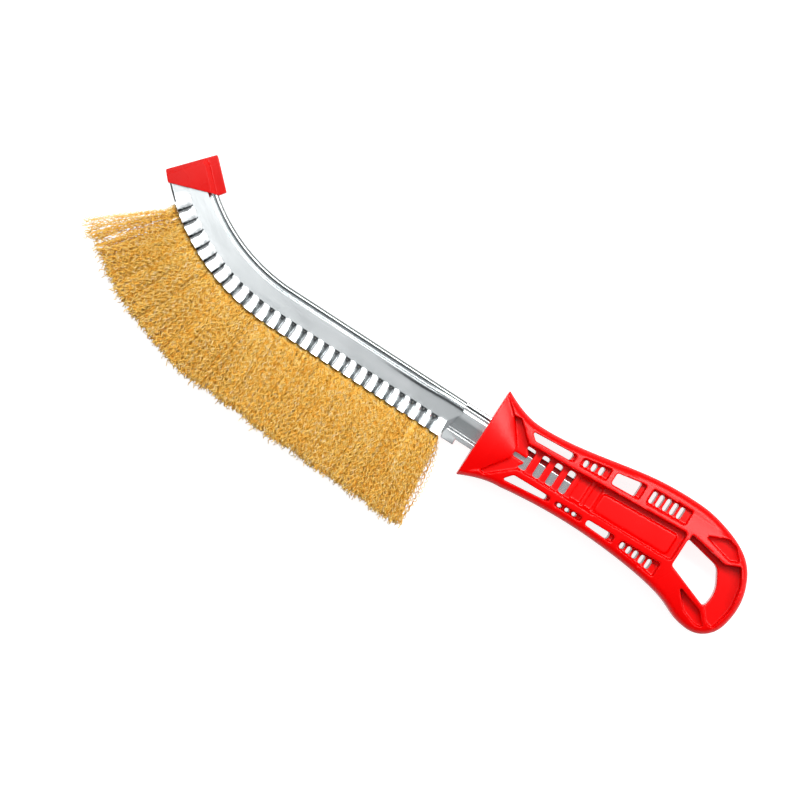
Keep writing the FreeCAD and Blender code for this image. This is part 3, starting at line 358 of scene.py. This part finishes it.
def held(outline):
    """The outline with a point close to both ends of every long side, so that flat sides look flat."""
    points = []
    for (height, across), (next_height, next_across) in zip(outline, outline[1:]):
        points.append((height, across))
        drop, widening = next_height - height, next_across - across
        length = math.hypot(drop, widening)
        if length > 4 * HELD:
            for share in (HELD / length, 1 - HELD / length):
                points.append((height + drop * share, across + widening * share))
    return points + [outline[-1]]


def add_bar(outline, near, far):
    """Straight bar with a mirrored outline, from one distance before the handle to another.

    A bar that begins before the handle reaches further under the cheeks below the spine.
    """
    ring = mirrored(held(outline))
    around = len(ring)
    base = len(vertices)
    for step in range(BAR_STEPS + 1):
        for height, across in ring:
            start = near
            if near > 0:
                start = near + (UNDER_CHEEKS - near) * smooth((SPINE_FOOT - height) / SPINE_BLEND)
            distance = start + (far - start) * step / BAR_STEPS
            vertices.append(on_holder(distance, height, across))
            places.append((distance, height, across))
    join_rings(base, BAR_STEPS + 1, around)
    faces.append(tuple(base + column for column in range(around))[::-1])
    faces.append(tuple(base + BAR_STEPS * around + column for column in range(around)))


add_bar(TANG_OUTLINE, *TANG_RUN)
add_bar(BLADE_OUTLINE, *BLADE_RUN)

# Lug: the corner of the strip that stays below the tang, next to the first flute. Its edges are broken, and
# it is thinnest at its waist.
LUG_OUTLINE = ((12.8, -4.4), (7.2, -5.5), (7.0, -7.9), (7.15, -8.05), (12.2, -8.15))
LUG_HALF = 1.9
LUG_EDGE = 0.12
LUG_INSET = 0.14
LUG_TAPER = 0.10
LUG_WAIST = -6.0


def add_lug():
    """Flat plate in four layers, the outer two a little smaller."""
    base = len(vertices)
    around = len(LUG_OUTLINE)
    centre_distance = sum(distance for distance, height in LUG_OUTLINE) / around
    centre_height = sum(height for distance, height in LUG_OUTLINE) / around
    inner = LUG_HALF - LUG_EDGE
    for layer, inset in ((-LUG_HALF, LUG_INSET), (-inner, 0.0), (inner, 0.0), (LUG_HALF, LUG_INSET)):
        for distance, height in LUG_OUTLINE:
            distance += math.copysign(inset, centre_distance - distance)
            height += math.copysign(inset, centre_height - height)
            across = layer + math.copysign(LUG_TAPER * (height - LUG_WAIST), layer)
            vertices.append(on_holder(distance, height, across))
            places.append((distance, height, across))
    join_rings(base, 4, around)
    faces.append(tuple(base + column for column in range(around))[::-1])
    faces.append(tuple(base + 3 * around + column for column in range(around)))


add_lug()

# Edges that turn by more than this, in degrees, are shaded sharp.
SHARP_EDGE = 32.0
holder = mesh_piece("folded_steel_holder", vertices, faces)
place_layer = holder.data.attributes.new("sheet_place", "FLOAT_VECTOR", "POINT")
place_layer.data.foreach_set("vector", np.array(places, dtype=np.float32).ravel())
holder_mesh = bmesh.new()
holder_mesh.from_mesh(holder.data)
bmesh.ops.recalc_face_normals(holder_mesh, faces=holder_mesh.faces)
for edge in holder_mesh.edges:
    if len(edge.link_faces) == 2 and edge.calc_face_angle() > math.radians(SHARP_EDGE):
        edge.smooth = False
holder_mesh.to_mesh(holder.data)
holder_mesh.free()
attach(holder, "root")
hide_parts("steel_holder")


def srgb(code):
    """Linear colour of an sRGB hex value."""
    channels = [int(code[start:start + 2], 16) / 255 for start in (1, 3, 5)]
    return [c / 12.92 if c <= 0.04045 else ((c + 0.055) / 1.055) ** 2.4 for c in channels] + [1.0]


def add(tree, kind, inputs=None, stops=(), **settings):
    """Node with its settings, its inputs (values or other nodes' outputs) and a ramp's stops."""
    made = tree.nodes.new(kind)
    for name, value in settings.items():
        setattr(made, name, value)
    for name, value in (inputs or {}).items():
        if isinstance(value, bpy.types.NodeSocket):
            tree.links.new(value, made.inputs[name])
        else:
            made.inputs[name].default_value = value
    for step, (position, code) in enumerate(stops):
        elements = made.color_ramp.elements
        element = elements[step] if step < 2 else elements.new(position)
        element.position = position
        element.color = srgb(code)
    return made


def new_material(name):
    """Empty material and its node tree."""
    material = bpy.data.materials.new(name)
    material.use_nodes = True
    material.node_tree.nodes.clear()
    return material, material.node_tree


# Rolled and zinc-coated sheet: bright, a little cloudy, with fine rolling lines along the strip. Real lines
# are finer, and these are drawn as wide as they need to be to show.
CLOUD_LENGTH, CLOUD_WIDTH = 20.0, 6.25
LINE_LENGTH, LINE_WIDTH = 12.5, 0.14
LINE_DEPTH = 0.04
zinc, tree = new_material("rolled_zinc_coated_sheet")
place = add(tree, "ShaderNodeAttribute", attribute_name="sheet_place")
cloud_size = (CLOUD_LENGTH, CLOUD_WIDTH, CLOUD_WIDTH)
cloud_space = add(tree, "ShaderNodeVectorMath", {
    0: place.outputs["Vector"], 1: cloud_size}, operation="DIVIDE")
clouds = add(tree, "ShaderNodeTexNoise", {"Vector": cloud_space.outputs[0], "Scale": 1.0, "Detail": 3.0})
line_size = (LINE_LENGTH, LINE_WIDTH, LINE_WIDTH)
line_space = add(tree, "ShaderNodeVectorMath", {
    0: place.outputs["Vector"], 1: line_size}, operation="DIVIDE")
lines = add(tree, "ShaderNodeTexNoise", {"Vector": line_space.outputs[0], "Scale": 1.0, "Detail": 4.0})
sheet_colour = add(tree, "ShaderNodeValToRGB", {"Fac": clouds.outputs["Fac"]}, (
    (0.30, "#C6CACB"), (0.70, "#DADDDE")))
sheet_rough = add(tree, "ShaderNodeMapRange", {
    "Value": lines.outputs["Fac"], "To Min": 0.20, "To Max": 0.30})
sheet_bump = add(tree, "ShaderNodeBump", {
    "Height": lines.outputs["Fac"], "Strength": 0.05, "Distance": LINE_DEPTH * MM})
zinc_shader = add(tree, "ShaderNodeBsdfPrincipled", {
    "Base Color": sheet_colour.outputs["Color"],
    "Metallic": 1.0,
    "Roughness": sheet_rough.outputs["Result"],
    "Normal": sheet_bump.outputs["Normal"],
})
add(tree, "ShaderNodeOutputMaterial", {"Surface": zinc_shader.outputs["BSDF"]})
holder.data.materials.append(zinc)

# ------------------------------------------------------------------ core wire
# Plain drawn steel wire that lies in the fold; the brush wires are doubled over it.
# It is a plain round rod, so its CAD solid is carried over, and only its finish is made here.

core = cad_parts["core_wire"]

# Drawn steel: even grey, a little dull from the marks of the die, which are drawn coarser than real ones.
DRAW_MARKS = 1.1
drawn_wire, tree = new_material("drawn_steel_core")
where = add(tree, "ShaderNodeTexCoord")
grain = add(tree, "ShaderNodeTexNoise", {
    "Vector": where.outputs["Object"], "Scale": 1 / (DRAW_MARKS * MM), "Detail": 2.0})
core_rough = add(tree, "ShaderNodeMapRange", {"Value": grain.outputs["Fac"], "To Min": 0.3, "To Max": 0.45})
core_shader = add(tree, "ShaderNodeBsdfPrincipled", {
    "Base Color": srgb("#9EA19F"),
    "Metallic": 1.0,
    "Roughness": core_rough.outputs["Result"],
})
add(tree, "ShaderNodeOutputMaterial", {"Surface": core_shader.outputs["BSDF"]})
core.data.materials.clear()
core.data.materials.append(drawn_wire)

# ------------------------------------------------------------------ crimped wires
# Brass-coated spring wires, 0.3 mm thick and crimped so that they stand apart and hold each other up.
# Each pair of flutes grips one bundle; the free ends fan out and are sheared to length.

# A wire is a tube of three sides. Its radius runs to the corners, so that it is about 0.3 mm thick.
WIRE_RADIUS = 0.18
WIRE_SIDES = 3
STEPS = 90
STRANDS = 190
# The bundles at both ends have lost wires: share of the strands that each of them still holds.
SPARSE = {1: 0.70, 25: 0.72, 26: 0.27, 27: 0.12}

# Free length below the mouth, longer by the handle, with uneven shearing and a few wires left long. The
# gripped length is inside the fold.
TRIM = 32.6
TRIM_GAIN = 3.3
TRIM_RUN = 70.0
GRIPPED = 3.0
BUNDLE_TRIM_NOISE = 0.4
WIRE_TRIM_NOISE = 0.75
SHORT_WIRES = 0.5
LONG_SHARE = 0.07
LONG_EXTRA = (0.3, 2.0)

# The fan at both ends of the row, and how far the wires spread along it and across it.
FAN_DEGREES = 9.0
FAN_RUN = 34.0
LEAN_NOISE = 2.8
GOLDEN_RATIO = 0.618034
OFFSET_NOISE = 0.03
OPENING = 0.45
OPENING_RUN = 5
LAYER_CROWDING = 0.85
MOUTH_HALF = 1.3
MOUTH_PINCH = 0.45
TUFT_HALF = 6.0
TUFT_NOISE = 0.7
BOW = 1.2
SWAY = 0.6

# The crimp: a small wave in a plane of its own on every wire, which grows as the wire leaves the mouth.
CRIMP_LENGTH = 2.5
CRIMP_DEPTH = 0.50
CRIMP_START = -0.5
CRIMP_EASE = 2
CRIMP_LENGTH_RANGE = (0.8, 1.25)
CRIMP_DEPTH_RANGE = (0.6, 1.3)

# By the handle the tuft ends cleanly, because the first bundle's lean is held back and limited. By the tip it
# frays: the last bundle keeps to the handle's side of its flute, leans out further and has longer wires.
FIRST_HELD_BACK = 1.5
FIRST_LIMIT = (7.5, 11.0)
LAST_LEAN = (1.0, 4.5)
LAST_SHIFT = 0.45
LAST_RUN = 4
LAST_EXTRA = 1.8


def lean_at(distance):
    """Lean towards the handle, in degrees, of the wires that leave the holder at a distance."""
    at_handle = max(0.0, 1 - (distance - FLUTE_START) / FAN_RUN) ** 2
    at_tip = max(0.0, 1 - (ROW_END - distance) / FAN_RUN) ** 2
    return FAN_DEGREES * (at_handle - at_tip)


def turn_spread(centre, offset):
    """Extra lean of wires beside the middle of a bundle in the bend, where the rows fan out."""
    if centre < STRAIGHT_RUN:
        return np.zeros_like(offset)
    return offset / (BEND_RADIUS + HALF_HEIGHT)


def strand_paths(number, count, rng):
    """Middle lines of one bundle's strands, in millimetres, as strands by steps by coordinates."""
    first, last = number == 1, number == FLUTE_COUNT
    centre = FLUTE_START + FLUTE_PITCH * (number - 0.5)
    turn = max(0.0, (centre - STRAIGHT_RUN) / BEND_RADIUS)
    back = np.array([math.cos(turn), -math.sin(turn), 0.0])
    down = np.array([-math.sin(turn), -math.cos(turn), 0.0])
    side = np.array([0.0, 0.0, 1.0])
    mouth = np.array(on_holder(centre, -HALF_HEIGHT, 0.0)) / MM

    spots = (np.arange(count) * GOLDEN_RATIO + rng.random()) % 1.0 - 0.5
    offset = (spots + rng.normal(0, OFFSET_NOISE, count)) * FLUTE_PITCH
    layer = rng.uniform(-1, 1, count)
    layer = np.sign(layer) * np.abs(layer) ** LAYER_CROWDING
    trim = TRIM + TRIM_GAIN * max(0.0, 1 - (centre - FLUTE_START) / TRIM_RUN)
    length = trim + rng.normal(0, BUNDLE_TRIM_NOISE) + rng.normal(0, WIRE_TRIM_NOISE, count)
    length = length - rng.exponential(SHORT_WIRES, count)
    long_ones = rng.random(count) < LONG_SHARE
    length = length + long_ones * rng.uniform(*LONG_EXTRA, count)
    lean = np.array([lean_at(centre - value) for value in offset])
    lean = lean + rng.normal(0, LEAN_NOISE, count)
    if last:
        offset = np.abs(offset)
        lean = lean - rng.uniform(*LAST_LEAN, count)
        length = length + LAST_EXTRA
    if first:
        lean = np.minimum(lean - FIRST_HELD_BACK, rng.uniform(*FIRST_LIMIT, count))
    slope = np.tan(np.radians(lean)) + turn_spread(centre, offset)

    # Rows are strands, columns are steps. Free is the length below the mouth, out its share of the whole.
    length, offset, layer, slope = (values[:, None] for values in (length, offset, layer, slope))
    fall = np.linspace(0, 1, STEPS)[None, :] * (length + GRIPPED) - GRIPPED
    free = np.clip(fall, 0, None)
    out = np.clip(fall / length, 0, 1)
    along = offset * (1.0 + OPENING * np.clip(free / OPENING_RUN, 0, 1))
    if last:
        along = along + LAST_SHIFT * FLUTE_PITCH * np.clip(free / LAST_RUN, 0, 1)
    along = along + free * slope
    bow = rng.normal(0, BOW, count)[:, None] * np.sin(np.pi * out)
    sway = rng.normal(0, SWAY, count)[:, None] * np.sin(2 * np.pi * out + rng.uniform(0, 6, count)[:, None])
    inner = layer * MOUTH_HALF * (1 - MOUTH_PINCH * (2 * offset / FLUTE_PITCH) ** 2)
    outer = layer * (TUFT_HALF + rng.normal(0, TUFT_NOISE, count)[:, None])
    across = inner + (outer - inner) * out ** 0.5
    phase = rng.uniform(0, 2 * np.pi, count)[:, None]
    plane = rng.uniform(0, np.pi, count)[:, None]
    wave = CRIMP_LENGTH * rng.uniform(*CRIMP_LENGTH_RANGE, count)[:, None]
    swing = CRIMP_DEPTH * rng.uniform(*CRIMP_DEPTH_RANGE, count)[:, None]
    swing = swing * np.clip((fall - CRIMP_START) / CRIMP_EASE, 0, 1)
    crimp = swing * np.sin(2 * np.pi * fall / wave + phase)
    along = along + (bow + sway) + crimp * np.cos(plane)
    across = across + crimp * np.sin(plane)
    along, fall, across = along[..., None], fall[..., None], across[..., None]
    return mouth + along * back + fall * down + across * side


def make_bundle(number):
    """All the strands of one bundle as thin three-sided tubes in one mesh."""
    rng = np.random.default_rng(700 + number)
    count = round(STRANDS * SPARSE.get(number, 1.0))
    path = strand_paths(number, count, rng)
    forward = np.gradient(path, axis=1)
    forward /= np.linalg.norm(forward, axis=2, keepdims=True)
    beside = np.cross(forward, np.array([0.0, 0.0, 1.0]))
    beside /= np.linalg.norm(beside, axis=2, keepdims=True)
    above = np.cross(forward, beside)
    corners = []
    for corner in range(WIRE_SIDES):
        angle = 2 * math.pi * corner / WIRE_SIDES
        corners.append(path + WIRE_RADIUS * (math.cos(angle) * beside + math.sin(angle) * above))
    tube = np.stack(corners, axis=2) * MM
    index = np.arange(count * STEPS * WIRE_SIDES).reshape(count, STEPS, WIRE_SIDES)
    near, far = index[:, :-1, :], index[:, 1:, :]
    quads = np.stack([near, np.roll(near, -1, axis=2), np.roll(far, -1, axis=2), far], axis=-1)
    tube_faces = quads.reshape(-1, 4).tolist() + index[:, -1, :].tolist()
    bundle = mesh_piece(f"crimped_wires_{number:02d}", tube.reshape(-1, 3).tolist(), tube_faces)
    tone = np.repeat(rng.random(count), STEPS * WIRE_SIDES).astype(np.float32)
    tone_layer = bundle.data.attributes.new("strand_tone", "FLOAT", "POINT")
    tone_layer.data.foreach_set("value", tone)
    return bundle


# Brass coating on drawn wire: warm gold, each strand a little different and duller where it is worn.
# The metallic level is low for brass: at the usual one thin wires mirror mostly each other and turn black.
WORN_PATCH = 1.6
STRAND_SHARE = 0.3
WORN_SHARE = 0.7
brass, tree = new_material("crimped_brass_coated_wire")
tone = add(tree, "ShaderNodeAttribute", attribute_name="strand_tone")
where = add(tree, "ShaderNodeTexCoord")
tarnish = add(tree, "ShaderNodeTexNoise", {
    "Vector": where.outputs["Object"], "Scale": 1 / (WORN_PATCH * MM), "Detail": 3.0})
worn = add(tree, "ShaderNodeMapRange", {
    "Value": tarnish.outputs["Fac"], "From Min": 0.3, "From Max": 0.7, "To Min": 0.0, "To Max": WORN_SHARE})
strand_part = add(tree, "ShaderNodeMath", {0: tone.outputs["Fac"], 1: STRAND_SHARE}, operation="MULTIPLY")
mixed_tone = add(tree, "ShaderNodeMath", {
    0: strand_part.outputs[0], 1: worn.outputs["Result"]}, operation="ADD")
brass_colour = add(tree, "ShaderNodeValToRGB", {"Fac": mixed_tone.outputs[0]}, (
    (0.15, "#F2AE36"), (0.42, "#FFCB54"), (0.65, "#FFDA78"), (0.88, "#FFE3A6")))
brass_rough = add(tree, "ShaderNodeMapRange", {
    "Value": tarnish.outputs["Fac"], "To Min": 0.42, "To Max": 0.58})
brass_shader = add(tree, "ShaderNodeBsdfPrincipled", {
    "Base Color": brass_colour.outputs["Color"],
    "Metallic": 0.2,
    "Roughness": brass_rough.outputs["Result"],
})
add(tree, "ShaderNodeOutputMaterial", {"Surface": brass_shader.outputs["BSDF"]})

for number in range(1, FLUTE_COUNT + 1):
    bundle = make_bundle(number)
    bundle.data.materials.append(brass)
    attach(bundle, "root")
    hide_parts(f"wire_bundle_{number:02d}")

# ------------------------------------------------------------------ tip cap
# Injection-moulded polypropylene wedge, pushed over the end of the folded sheet.
# Moulding leaves its edges a little round and its broad faces slightly domed.

CAP_GRID = 0.16
CAP_CROWN = 0.9
WELD_GAP = 0.001
RELAX_PASSES = 4


def soften(node, name, grid):
    """Copy of a CAD node's mesh with the small edge roundings that moulding leaves."""
    made = bpy.data.objects.new(name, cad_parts[node].data.copy())
    bpy.context.collection.objects.link(made)
    made.data.materials.clear()
    weld = made.modifiers.new("weld", "WELD")
    weld.merge_threshold = WELD_GAP * MM
    remesh = made.modifiers.new("grid", "REMESH")
    remesh.mode = "VOXEL"
    remesh.voxel_size = grid * MM
    relax = made.modifiers.new("relax", "SMOOTH")
    relax.factor = 0.5
    relax.iterations = RELAX_PASSES
    shown = made.evaluated_get(bpy.context.evaluated_depsgraph_get())
    finished = bpy.data.meshes.new_from_object(shown)
    made.modifiers.clear()
    made.data = finished
    finished.shade_smooth()
    return made


cap_low, cap_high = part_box("tip_cap")
cap_middle = (cap_low + cap_high) / 2
cap = soften("tip_cap", "moulded_tip_cap", CAP_GRID)
for vertex in cap.data.vertices:
    from_middle = vertex.co - cap_middle
    beside = from_middle.xy.length / ((cap_high - cap_low).xy.length / 2)
    vertex.co.z -= CAP_CROWN * MM * from_middle.z / (cap_high.z - cap_middle.z) * beside * beside
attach(cap, "root")
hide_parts("tip_cap")

FLOW_MARK = 18.0
TOOL_RIPPLE = 1.5
RIPPLE_DEPTH = 0.06


def moulded_plastic(name, dark, light, roughness):
    """Glossy injection-moulded polypropylene: even colour, with a faint ripple from the tool."""
    material, tree = new_material(name)
    where = add(tree, "ShaderNodeTexCoord")
    flow = add(tree, "ShaderNodeTexNoise", {
        "Vector": where.outputs["Object"], "Scale": 1 / (FLOW_MARK * MM), "Detail": 2.0})
    ripple = add(tree, "ShaderNodeTexNoise", {
        "Vector": where.outputs["Object"], "Scale": 1 / (TOOL_RIPPLE * MM), "Detail": 2.0})
    colour = add(tree, "ShaderNodeValToRGB", {"Fac": flow.outputs["Fac"]}, ((0.3, dark), (0.7, light)))
    rough = add(tree, "ShaderNodeMapRange", {
        "Value": flow.outputs["Fac"], "To Min": roughness - 0.04, "To Max": roughness + 0.06})
    bump = add(tree, "ShaderNodeBump", {
        "Height": ripple.outputs["Fac"], "Strength": 0.10, "Distance": RIPPLE_DEPTH * MM})
    shader = add(tree, "ShaderNodeBsdfPrincipled", {
        "Base Color": colour.outputs["Color"],
        "Roughness": rough.outputs["Result"],
        "IOR": 1.49,
        "Specular IOR Level": 0.2,
        "Normal": bump.outputs["Normal"],
    })
    add(tree, "ShaderNodeOutputMaterial", {"Surface": shader.outputs["BSDF"]})
    return material


# Polypropylene moulded in a polished tool: deep even red with a soft gloss.
cap.data.materials.append(moulded_plastic("moulded_cap_polypropylene", "#CC0905", "#D80F08", 0.27))

# ------------------------------------------------------------------ handle
# One injection-moulded polypropylene body over the tang, with windows that save material.
# Its broad faces are slightly crowned, so that they fill the palm.

HANDLE_GRID = 0.33
HANDLE_CROWN = 1.5
GRIP_HALF = 19.0
handle = soften("handle", "moulded_handle", HANDLE_GRID)
for vertex in handle.data.vertices:
    from_parting = (vertex.co.z - COLLAR_CENTRE.z) / (collar_high.z - COLLAR_CENTRE.z)
    beside = (vertex.co.y - COLLAR_CENTRE.y) / (GRIP_HALF * MM)
    vertex.co.z -= from_parting * HANDLE_CROWN * MM * min(1.0, beside * beside)
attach(handle, "root")
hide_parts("handle")

# The same polypropylene in a brighter red, a little glossier where hands polish it.
handle.data.materials.append(moulded_plastic("moulded_handle_polypropylene", "#E60202", "#EE0303", 0.25))

# ------------------------------------------------------------------ table, light and camera
# White table top that keeps the brush's shadow, one long soft box above the spine side and a pale room.

low, high = cad_box
middle = (low + high) / 2

bpy.ops.mesh.primitive_plane_add(size=6, location=(0, 0, low.z))
table = bpy.context.object
table.name = "table_top"

# Matt white paper: it takes the brush's shadow, and glows enough to look white to the camera and in the
# steel.
PAPER_GLOW = 0.88
paper, tree = new_material("matt_white_paper")
seen = add(tree, "ShaderNodeLightPath")
matt = add(tree, "ShaderNodeBsdfDiffuse", {"Color": srgb("#BEBEBE")})
camera_or_mirror = add(tree, "ShaderNodeMath", {
    0: seen.outputs["Is Camera Ray"], 1: seen.outputs["Is Glossy Ray"]}, operation="MAXIMUM")
any_view = add(tree, "ShaderNodeMath", {
    0: camera_or_mirror.outputs[0], 1: seen.outputs["Is Transmission Ray"]}, operation="MAXIMUM")
glow_level = add(tree, "ShaderNodeMath", {0: any_view.outputs[0], 1: PAPER_GLOW}, operation="MULTIPLY")
glow = add(tree, "ShaderNodeEmission", {"Color": (1, 1, 1, 1), "Strength": glow_level.outputs[0]})
both = add(tree, "ShaderNodeAddShader", {0: matt.outputs[0], 1: glow.outputs[0]})
add(tree, "ShaderNodeOutputMaterial", {"Surface": both.outputs[0]})
table.data.materials.append(paper)


def add_soft_box(name, place, size, power, aim):
    """Rectangular area light at a place in metres, turned to the point that it aims at."""
    light = bpy.data.lights.new(name, "AREA")
    light.shape = "RECTANGLE"
    light.size, light.size_y = size
    light.energy = power
    stand = bpy.data.objects.new(name, light)
    stand.location = place
    stand.rotation_euler = (Vector(aim) - Vector(place)).to_track_quat("-Z", "Y").to_euler()
    bpy.context.collection.objects.link(stand)


add_soft_box("spine_side_soft_box", (0.0, 0.50, 1.0), (1.5, 0.30), 14.5, middle)
add_soft_box("tip_side_card", (-0.47, 0.0, 1.25), (0.60, 0.5), 1.8, (-0.47, 0.0, 0.0))

# The room is brightest above the spine side, darkens to both sides across the brush, and is brighter at the
# handle's end than at the tip. A low white paper sweep stands all round the table.
world = bpy.data.worlds.new("pale_room")
bpy.context.scene.world = world
world.use_nodes = True
room = world.node_tree
room.nodes.clear()
direction = add(room, "ShaderNodeTexCoord")
parts_of = add(room, "ShaderNodeSeparateXYZ", {"Vector": direction.outputs["Generated"]})
across_room = add(room, "ShaderNodeMapRange", {"Value": parts_of.outputs["Y"], "From Min": -1.0})
walls = add(room, "ShaderNodeValToRGB", {"Fac": across_room.outputs["Result"]}, (
    (0.0, "#2A2C2F"), (0.25, "#3E4043"), (0.39, "#707375"), (0.5, "#A2A5A7"), (0.56, "#BABCBE"),
    (0.62, "#F2F2F2"), (0.70, "#FFFFFF"), (0.80, "#909090"), (1.0, "#505050")))
along_room = add(room, "ShaderNodeMapRange", {
    "Value": parts_of.outputs["X"], "From Min": -1.0, "To Min": 0.60, "To Max": 1.45})
ceiling = add(room, "ShaderNodeBackground", {
    "Color": walls.outputs["Color"], "Strength": along_room.outputs["Result"]})
paper_sweep = add(room, "ShaderNodeBackground", {"Color": (1, 1, 1, 1), "Strength": 1.0})
near_table = add(room, "ShaderNodeMapRange", {
    "Value": parts_of.outputs["Z"], "From Min": 0.32, "From Max": 0.14})
surround = add(room, "ShaderNodeMixShader", {
    "Fac": near_table.outputs["Result"], 1: ceiling.outputs[0], 2: paper_sweep.outputs[0]})
add(room, "ShaderNodeOutputWorld", {"Surface": surround.outputs[0]})

# The camera looks straight down on the brush, rolled so that the brush lies aslant in the frame.
VIEW_WIDTH = 0.296
VIEW_SHIFT = 0.0050
CAMERA_HEIGHT = 1.6
ROLL = 33.0
SENSOR = 36.0
camera_data = bpy.data.cameras.new("camera")
camera_data.sensor_width = SENSOR
camera_data.lens = SENSOR * CAMERA_HEIGHT / VIEW_WIDTH
camera = bpy.data.objects.new("camera", camera_data)
camera.location = (middle.x - VIEW_SHIFT, middle.y, middle.z + CAMERA_HEIGHT)
camera.rotation_euler = (0, 0, math.radians(ROLL))
bpy.context.collection.objects.link(camera)
bpy.context.scene.camera = camera
bpy.context.scene.view_settings.view_transform = "Standard"
